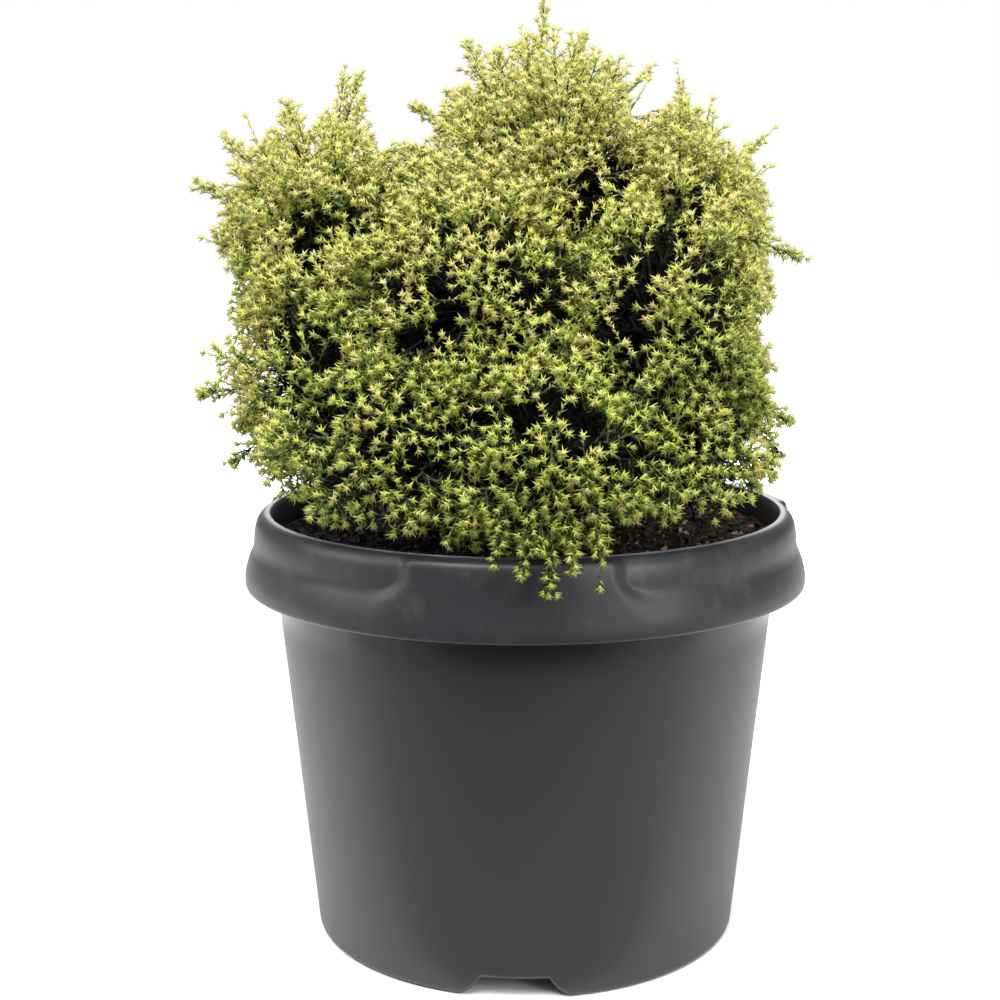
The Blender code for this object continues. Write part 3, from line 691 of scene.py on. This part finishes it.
def planMasses():
    for name, mass in masses.items():
        rng = np.random.default_rng([seed, *("mass_" + name).encode()])
        mass["waves"] = rng.normal(size=(5, 3)) * 3.2
        mass["phases"] = rng.uniform(0, math.tau, 5)
        mass["centre"] = np.array(mass.get("leafAt", mass["at"]))
        mass["spread"] = np.array(mass.get("leafRadii", mass["radii"]))
        mass["size"] = float(np.prod(mass["spread"])) ** (1 / 3)
    for name, mass in masses.items():
        walls = []
        for otherName, other in masses.items():
            if otherName != name:
                apart = other["centre"] - mass["centre"]
                span = float(np.linalg.norm(apart))
                off = (span**2 + mass["size"] ** 2 - other["size"] ** 2) / (2 * span)
                walls.append((*(apart / span), off))
        mass["walls"] = np.array(walls)


# How deep points stand in the crown, with its masses melted together: 1 is on the skin
def crownDepth(points):
    far = np.stack([np.linalg.norm((points - mass["centre"]) / mass["spread"], axis=-1)
                    for mass in masses.values()])
    x, y, z = points[..., 0], points[..., 1], points[..., 2]
    outline = np.clip((abs(x) - 0.06) / 0.05, 0, 1) + np.clip((z - 0.37) / 0.04, 0, 1)
    outline = outline * np.clip((y + 0.055) / 0.035, 0, 1)
    melt = growth["melt"] * (1 + growth["meltOutline"] * outline)
    return -np.log(np.exp(-melt * far).sum(0)) / melt


def fullReach(mass, ways):
    reach = 1 / np.sqrt(((ways / mass["spread"]) ** 2).sum(-1))
    most = reach * growth["meltMost"]
    for _ in range(4):
        depth = crownDepth(mass["centre"] + ways * reach[..., None])
        reach = np.minimum(most, reach / np.maximum(depth, 0.4))
    lumps = np.sin(ways @ mass["waves"].T + mass["phases"]).sum(-1)
    return reach * (1 + growth["lump"] * lumps / 2.2)


# The hollows as (middle, radius), each reaching in from the crown's skin at the front
def placeHollows():
    y = np.linspace(-0.17, 0.02, 77)
    placed = []
    for x, z, r in hollows:
        line = np.stack([np.full(len(y), x), y, np.full(len(y), z)], axis=-1)
        placed.append((x, y[np.argmax(crownDepth(line) < 1.0)] + hollowDeep * 0.3, z, r))
    return np.array(placed)


# True where a point is off the hollows, whose edges are ragged, and off the notches
def offHollows(points):
    apart = abs(points[:, None] - hollowPlaces[:, :3])
    apart[..., 1] = np.maximum(0, apart[..., 1] - hollowDeep * 0.7)
    ragged = 0.90 + 0.45 * np.sin(points @ np.array((4100.0, 3700.0, 5300.0)))
    offDark = (np.linalg.norm(apart, axis=2) > hollowPlaces[:, 3] * ragged[:, None]).all(1)
    sky = np.array(notches)
    offSky = (np.hypot(points[:, None, 0] - sky[:, 0], points[:, None, 2] - sky[:, 1]) > sky[:, 2]).all(1)
    return offDark & offSky


def wallRoom(mass, ways):
    toward = ways @ mass["walls"][:, :3].T
    return np.where(toward > 1e-6, mass["walls"][:, 3] / np.maximum(toward, 1e-6), 1.0).min(-1)


# True where a point is off the pot and the mix
def clearOfPot(points):
    r, z = np.hypot(points[..., 0], points[..., 1]), points[..., 2]
    overRim = z > pot["lipTop"] + growth["potClear"]
    inside = (r < pot["lipR"] - pot["wallT"]) & (z > mix["top"] + mix["lump"] + growth["potClear"])
    return overRim | inside | (r > pot["rimR"] + growth["potClear"])


# True where a point is above the hem and not too far into the next mass
def inReach(mass, points, play):
    low = np.where(points[..., 1] < 0.02, np.interp(points[..., 0], hem[:, 0], hem[:, 1]), growth["backHem"])
    over = (points - mass["centre"]) @ mass["walls"][:, :3].T - mass["walls"][:, 3]
    return (points[..., 2] > low + play) & (over.max(-1) < growth["wallOver"])


def makeBoughs(finish):
    makeLimb("stem_bark", stemAt, stemR, stem, Vector((0, 0, 1)), 0.0, finish, "trunk")
    shares = np.linspace(0, 1, 201)
    heights = [stemAt(t).z for t in shares]
    for number, (name, mass) in enumerate(masses.items()):
        if mass["bough"] is None:
            mass["entry"] = np.array(stem["tip"])
            continue
        t = float(np.interp(mass["bough"], heights, shares))
        axis, centre = stemAt(t), Vector(mass["at"])
        out = centre - axis
        level = Vector((out.x, out.y, 0)).normalized()
        start = axis + level * (stemR(t) + mix["gap"])
        inward = (start - centre).normalized()
        plain = 1 / math.sqrt(sum((c / r) ** 2 for c, r in zip(inward, mass["radii"])))
        end = centre + inward * plain * bough["endShare"]
        bend = start + level * (end - start).length * bough["bendOut"]
        bend.z += (end.z - start.z) * bough["bendUp"]
        makeLimb("bough_bark_" + name, lambda t: bezier(start, bend, end, t),
                 lambda t: bough["r"] + (bough["tipR"] - bough["r"]) * t, bough, level, number + 1.0,
                 finish, "bough_" + name)
        mass["entry"] = np.array(end)
    print("boughs:", len(masses) - 1)


# The direction at a compass angle from +X and an angle above level
def wayAt(compass, rise):
    a, e = math.radians(compass), math.radians(rise)
    return np.array((math.cos(a) * math.cos(e), math.sin(a) * math.cos(e), math.sin(e)))


# The branchlets of a mass as (direction, reach, sag, turn, form), drawn as in the CAD
def branchPlan(name, mass):
    rng = np.random.default_rng([seed, 5, *("mass_" + name).encode()])
    plan = []
    for compass, rise, reach in mass.get("leaders", ()):
        plan.append((wayAt(compass, rise), reach, mass["sag"], rng.uniform(0, math.tau), "leader"))
    count = round(4 * math.pi * mass["size"] ** 2 / mass.get("pitch", growth["branchPitch"]) ** 2)
    for k in range(count):
        z = 1 - 2 * (k + 0.5) / count
        ring = math.sqrt(1 - z * z)
        way = np.array((math.cos(k * golden) * ring, math.sin(k * golden) * ring, z))
        way = unit(way + rng.normal(size=3) * 0.10)
        full = fullReach(mass, way) * rng.uniform(0.98, 1.13)
        rng.uniform(0.8, 1.15)  # a draw that only the CAD uses
        turn = rng.uniform(0, math.tau)
        reach = min(full, wallRoom(mass, way) + growth["wallOver"])
        if reach > full * growth["branchLeast"]:
            plan.append((way, reach, min(mass["sag"], reach * growth["sagMost"]), turn, "branchlet"))
    for k, (compass, rise, reach) in enumerate(mass.get("strands", ())):
        plan.append((wayAt(compass, rise), reach, mass["sag"], k * golden, "leader"))
    return plan


# The shoots along one branchlet. Those that reach the pot, the soil or far into the next mass
# are left out, and the branchlet ends at its last shoot
def growBranchlet(rng, mass, way, reach, sag, turn, formName):
    form, leader = forms[formName], formName == "leader"
    centre = np.array(mass["at"]) if leader else mass["centre"]
    clump = rng.uniform(growth["skinLow"], growth["skinHigh"])
    play = rng.uniform(-1, 1) * growth["hemPlay"]
    if not leader:
        reach = min(reach, float(fullReach(mass, way)) * clump)
    start = centre + way * reach * form["start"]
    tip = centre + way * reach - up * sag
    bend = centre + way * reach * (0.85 if sag else 0.72) + rng.normal(size=3) * growth["wander"]
    count, low = form["shoots"], form["low"]
    share = np.append(low + (0.97 - low) * ((np.arange(count) + 0.5) / count) ** 0.85, 1.0)[:, None]
    spot = bezier(start, bend, tip, share)
    along = unit((bend - start) * (1 - share) + (tip - bend) * share)
    other = unit(np.cross(along, unit(np.cross(way, (0.36, 0.48, 0.80)))))
    level = np.cross(other, along)
    spin = (turn + np.arange(count + 1) * golden)[:, None]
    lean = np.radians(form["lean"] - form["leanLess"] * share + rng.normal(size=share.shape) * 8)
    out = along * np.cos(lean) + (level * np.cos(spin) + other * np.sin(spin)) * np.sin(lean)
    length = form["long"] + (form["short"] - form["long"]) * share ** form["taper"]
    length = length * rng.uniform(0.78, 1.18, size=share.shape)
    out[-1], length[-1] = along[-1], growth["endShoot"] + growth["spur"] * rng.uniform(0, 1) ** 2.5
    spot[-1] = tip - along[-1] * growth["endShoot"]
    out = unit(out)
    end = spot + out * length
    if not leader:
        skin = fullReach(mass, unit(end - centre))[:, None]
        skin = skin * (clump + rng.uniform(-1, 1, size=share.shape) * growth["skinPlay"])
        far = np.linalg.norm(end - centre, axis=1, keepdims=True) + growth["starLong"] * 0.5
        length[:-1] -= np.maximum(0.0, far - skin)[:-1]
        end = spot + out * length
    fine = (length[:, 0] > growth["shootLeast"]) & inReach(mass, end, play) & offHollows(end)
    fine &= clearOfPot(end) & clearOfPot((spot + end) / 2)
    if not fine.any():
        return None
    outward = crownDepth(end) / clump
    lift = along * 0.34 + up * (0.16 - 12 * sag)
    last = float(share[fine].max())
    limbs = [(start, bezier(start, bend, tip, last / 2), bezier(start, bend, tip, last), growth["branchR"]),
             (centre * 0.6 + mass["entry"] * 0.4, (centre + start) / 2, start, growth["branchR"] * 1.3)]
    pale = (growth["paleFrom"], growth["paleFrom"] + growth["paleRise"])
    wide = form["wide"] * np.interp(end[:, 2], pale, (1.10, 0.93))
    luck = rng.uniform() * 0.42 + rng.uniform(size=count + 1) * 0.58
    shoots = (spot[fine], out[fine], lift[fine], length[fine], outward[fine], wide[fine], luck[fine])
    return limbs, shoots


# Coarse sprays round the middle of a mass, which only close the view through it. They are painted
# shade, and near the crown's top painted green and lime as lit from above
def growInside(rng, mass):
    count = growth["innerNeedles"]
    ways = unit(rng.normal(size=(growth["innerSprays"], 3)))
    full = np.minimum(fullReach(mass, ways), wallRoom(mass, ways) + growth["wallOver"])[:, None]
    start = mass["centre"] + ways * full * 0.12
    end = mass["centre"] + ways * full * rng.uniform(0.45, 0.76, size=full.shape)
    fine = clearOfPot(end) & inReach(mass, end, 0.006)
    start, end, ways = start[fine], end[fine], ways[fine]
    t = ((np.arange(count) + 0.5) / count)[None, :, None]
    base = start[:, None] * (1 - t) + end[:, None] * t
    point = unit(rng.normal(size=base.shape) + ways[:, None] * 0.5)
    high = base[..., 2] + rng.normal(size=base.shape[:2]) * 0.012
    # The inner needles are painted shade, and near the crown's top painted lit green and lime
    tone = np.select([high > growth["innerLitLime"], high > growth["innerLitGreen"]], [lime, green], shade)
    # In and round the hollows the inner sprays take the shade tone: painted shade
    for x, _, z, r in hollowPlaces:
        tone[np.hypot(base[..., 0] - x, base[..., 2] - z) < r + 0.004] = shade
    wide = np.full(base.shape[:2], growth["innerWide"])
    limbs = [(a, (a + b) / 2, b, growth["shootR"] * 1.6) for a, b in zip(start, end)]
    return limbs, (base, base + point * growth["innerLong"], wide, tone)


# The needles of all shoots at once: short ones set round the shoot by the golden angle, and a
# star of spread needles at its tip
def growNeedles(rng, spot, out, lift, length, outward, wide, luck):
    body, rays = growth["bodyNeedles"], growth["starRays"]
    t = np.concatenate((np.linspace(0.16, 0.92, body), np.linspace(0.94, 1.0, rays)))[None, :, None]
    star = np.concatenate((np.zeros(body), np.linspace(0.12, 1.0, rays)))[None, :, None]
    start = spot[:, None]
    knee = start + (out * length * 0.55)[:, None]
    tip = knee + (unit(out * 0.75 + lift) * length * 0.5)[:, None]
    axis = start * (1 - t) ** 2 + knee * 2 * t * (1 - t) + tip * t**2
    along = unit((knee - start) * (1 - t) + (tip - knee) * t)
    side = unit(np.cross(along, (0.31, 0.52, 0.80)))
    other = np.cross(along, side)
    spin = (np.arange(body + rays) * golden)[None, :, None]
    spin = spin + rng.uniform(0, math.tau, size=(len(spot), 1, 1))
    lean = np.where(star > 0, 74 - 50 * star**2.2, 60 - 12 * t)
    lean = lean * rng.uniform(0.70, 1.05, size=(len(spot), 1, 1))
    lean = np.radians(lean) + rng.normal(size=(*axis.shape[:2], 1)) * 0.15
    point = along * np.cos(lean) + (side * np.cos(spin) + other * np.sin(spin)) * np.sin(lean)
    size = np.where(star > 0, growth["starLong"] * (1 - 0.3 * star**3),
                    growth["needleLong"] * (0.8 + 0.2 * t))
    size = size * rng.uniform(0.78, 1.15, size=(*axis.shape[:2], 1)) * wide[:, None, None]
    size = size * rng.uniform(0.86, 1.12, size=(len(spot), 1, 1))
    # high grows up the crown: the paler rows and longer pale tips it brings are painted light from above
    high = np.clip((tip[:, 0, 2] - growth["paleFrom"]) / growth["paleRise"], 0, 1)
    kind = np.select([(outward > depth) & (luck < share + more * high) for depth, share, more, _ in dealing],
                     range(len(dealing)))
    bright = rng.uniform(0.24, 0.44, size=(len(spot), 1)) + 0.16 * high[:, None]
    part = np.where(t[:, :, 0] > 1 - bright, 0, np.where(t[:, :, 0] > 0.55 * (1 - bright), 1, 2))
    tone = np.take_along_axis(dealt[kind], part, axis=1)
    # The lowest shoots are a tone darker below their tips, painted shade, and the highest a tone paler in
    # their greens, painted light from above
    low, top = high[:, None], (high > 0.70 + 0.20 * luck)[:, None]
    tone += ((part == 2) & (low < 0.32) | (part == 1) & (low < 0.20)) & (tone < shade)
    tone -= top & (tone > gold) & (tone < shade)
    grows = (outward > growth["thinInside"])[:, None] | (np.arange(body + rays) % 2 == 0)
    slim = 1 - growth["needleSlim"] * (1 - high[:, None])
    width = np.where(grows, growth["needleWide"] * wide[:, None] * slim, 0.0)
    twigs = (spot, (spot * 0.25 + knee[:, 0] * 0.5 + tip[:, 0] * 0.25), tip[:, 0])
    return (axis, axis + unit(point + up * 0.06) * size, width, tone), twigs


def growMass(name, mass):
    rng = np.random.default_rng([seed, 7, *name.encode()])
    limbs, inner = growInside(rng, mass)
    limbs.append((mass["entry"], (mass["entry"] + mass["centre"]) / 2, mass["centre"], growth["massStemR"]))
    shoots = []
    for plan in branchPlan(name, mass):
        grown = growBranchlet(rng, mass, *plan)
        if grown:
            limbs += grown[0]
            shoots.append(grown[1])
    needles, twigs = growNeedles(rng, *[np.concatenate(parts) for parts in zip(*shoots)])
    needles = [np.concatenate([part.reshape(-1, *part.shape[2:]) for part in parts])
               for parts in zip(needles, inner)]
    starts, middles, ends, radii = [np.array(part) for part in zip(*limbs)]
    twigs = [np.concatenate(pair) for pair in zip(twigs, (starts, middles, ends))]
    return needles, (*twigs, np.concatenate((np.full(len(twigs[0]) - len(radii), growth["shootR"]), radii)))


# Three spokes round each of these directions
def spokesRound(along):
    side = unit(np.cross(along, (0.62, 0.27, 0.74)))
    other = np.cross(along, side)
    return [side * math.cos(a) + other * math.sin(a) for a in (0, math.tau / 3, 2 * math.tau / 3)]


# All the needles of a mass as one mesh: each is a three-sided awl with its foot in the twig
def needlePiece(name, needles, finishes):
    keep = clearOfPot(needles[1]) & (needles[2] > 0)
    base, tip, wide, tone = [part[keep] for part in needles]
    corners = [base + spoke * wide[:, None] * 0.58 for spoke in spokesRound(unit(tip - base))]
    pattern = ((0, 1, 3), (1, 2, 3), (2, 0, 3))
    return meshPiece(name, np.stack([*corners, tip], axis=1), pattern, tone, finishes)


# All the twigs of a mass as one mesh: three-sided, tapered, bent once
def twigPiece(name, start, middle, tip, r, finishes):
    spokes = spokesRound(unit(tip - start))
    rings = [start + spoke * r[:, None] for spoke in spokes]
    rings += [middle + spoke * r[:, None] * 0.75 for spoke in spokes]
    pattern = []
    for k in range(3):
        n = (k + 1) % 3
        pattern += [(k, n, n + 3), (k, n + 3, k + 3), (k + 3, n + 3, 6)]
    return meshPiece(name, np.stack([*rings, tip], axis=1), pattern, r > growth["shootR"], finishes)


def makeFoliage(twigFinishes, needleFinishes):
    total = 0
    for name, mass in masses.items():
        grown, twigs = growMass(name, mass)
        needles = needlePiece("needles_" + name, grown, needleFinishes)
        finishPiece(needles, "needles", "mass_" + name)
        twigs = twigPiece("twigs_" + name, *twigs, twigFinishes)
        finishPiece(twigs, "bark")
        counts = len(needles.data.polygons), len(twigs.data.polygons)
        total += sum(counts)
        print("foliage:", name, counts[0], "needle faces,", counts[1], "twig faces")
    print("foliage in all:", total, "faces")


# Studio

studio = {
    "cameraAt": (0.0, -0.829, 0.359),
    "cameraPitch": 10.0,
    "filmWidth": 36.0,
    "focalPixels": 1702,      # the focal length, the picture's width and the column of the pot's axis
    "frameWidth": 1000,
    "potAxisAt": 525.2,
    "world": 0.40,            # the room's light. The camera itself sees a white backdrop
    "sunAt": (-0.10, -0.42, 1.0),
    "sunPower": 4.3,
    "sunSpread": 44.0,
    "cardNear": "#b0b0b0",
    "cardFar": "#0c0c0c",
    "cardTurns": (-0.32, -0.42),  # over this stretch of Y the card turns dark
}
# The soft lamps: place, what it points at, width and power
lamps = {
    "key": ((-1.4, -0.25, 1.0), (0, 0, 0.25), 0.8, 10.5),
    "fill": ((0.95, -1.10, 0.72), (0, 0, 0.25), 0.8, 13.5),
    "bank": ((-0.05, -0.40, 0.86), (0, 0, 0.40), 0.7, 3.0),
    "backdrop": ((0.0, 1.7, 0.8), (0, 0, 0.25), 1.6, 24.0),
}
# Cards that only show mirrored in the pot: one lies before it and darkens the wall's foot, and one
# stands at the left front. Place, tilt in degrees and size
cards = {
    "dark_card": ((0, -0.808, 0.001), 0, (2.0, 1.4, 1)),
    "dark_flag": ((-1.0, -2.0, 0.5), 90, (1.9, 1, 1.0)),
}


# Matt card, pale grey next to the pot and near black farther off
def shadedCard():
    made, tree, shader = newMaterial("shaded_card", studio["cardNear"], 0.9)
    spot = addNode(tree, "TexCoord", output="Object")
    y = addNode(tree, "SeparateXYZ", {"Vector": spot}, "Y")
    far = addNode(tree, "MapRange",
                  {"Value": y, "From Min": studio["cardTurns"][0], "From Max": studio["cardTurns"][1]})
    colour = addNode(tree, "Mix",
                     {"Factor": far, "A": studio["cardNear"], "B": studio["cardFar"]}, data_type="RGBA")
    setInputs(shader, {"Base Color": colour})
    return made


def addCard(name, at, tilt, size, finish):
    bpy.ops.mesh.primitive_plane_add(size=1, location=at, rotation=(math.radians(tilt), 0, 0))
    bpy.ops.transform.resize(value=size)
    bpy.ops.object.transform_apply(location=True, rotation=True, scale=True)
    card = bpy.context.object
    card.name = name
    card.visible_camera = card.visible_shadow = False
    card.data.materials.append(finish)
    return card


def addLight(kind, name, at, aim, power):
    bpy.ops.object.light_add(type=kind, location=at)
    light = bpy.context.object
    light.name = name
    light.data.energy = power
    light.rotation_euler = (Vector(aim) - Vector(at)).to_track_quat("-Z", "Y").to_euler()
    return light.data


def makeStudio():
    deselect()
    bpy.ops.object.camera_add(location=studio["cameraAt"],
                              rotation=(math.radians(90 - studio["cameraPitch"]), 0, 0))
    camera = bpy.context.object
    camera.data.sensor_width = studio["filmWidth"]
    camera.data.lens = studio["filmWidth"] * studio["focalPixels"] / studio["frameWidth"]
    camera.data.shift_x = 0.5 - studio["potAxisAt"] / studio["frameWidth"]
    bpy.context.scene.camera = camera
    bpy.ops.mesh.primitive_plane_add(size=14)
    floor = bpy.context.object
    floor.name = "studio_floor"
    floor.data.materials.append(newMaterial("studio_paper", "#f4f4f4", 0.9)[0])
    finishes = (shadedCard(), newMaterial("flag_felt", "#060606", 0.95)[0])
    [addCard(name, *card, finish) for (name, card), finish in zip(cards.items(), finishes)]
    world = bpy.data.worlds.new("studio_light")
    world.use_nodes = True
    tree = world.node_tree
    seen = addNode(tree, "LightPath", output="Is Camera Ray")
    strength = addNode(tree, "MapRange", {"Value": seen, "To Min": studio["world"]})
    setInputs(tree.nodes["Background"], {"Color": "#ffffff", "Strength": strength})
    bpy.context.scene.world = world
    for name, (at, aim, width, power) in lamps.items():
        lamp = addLight("AREA", name, at, aim, power)
        lamp.shape = "DISK"
        lamp.size = width
    sun = addLight("SUN", "overhead", studio["sunAt"], (0, 0, 0), studio["sunPower"])
    sun.angle = math.radians(studio["sunSpread"])
    bpy.context.scene.view_settings.view_transform = "Standard"
    print("studio set")


makeStudio()
makePot(mouldedPolypropylene())
makeMix(dampPottingMix())
planMasses()
hollowPlaces = placeHollows()
makeBoughs(cedarBark())
# branchlet_bark, on the limbs inside the crown, is near black: partly the bark's colour and partly painted
# shade
twigTones = (("young_shoot_bark", "#5c6428", 0.80), ("branchlet_bark", "#221b0f", 0.90))
makeFoliage([newMaterial(*tone)[0] for tone in twigTones],
            [newMaterial(name, *finish)[0] for name, finish in tones.items()])
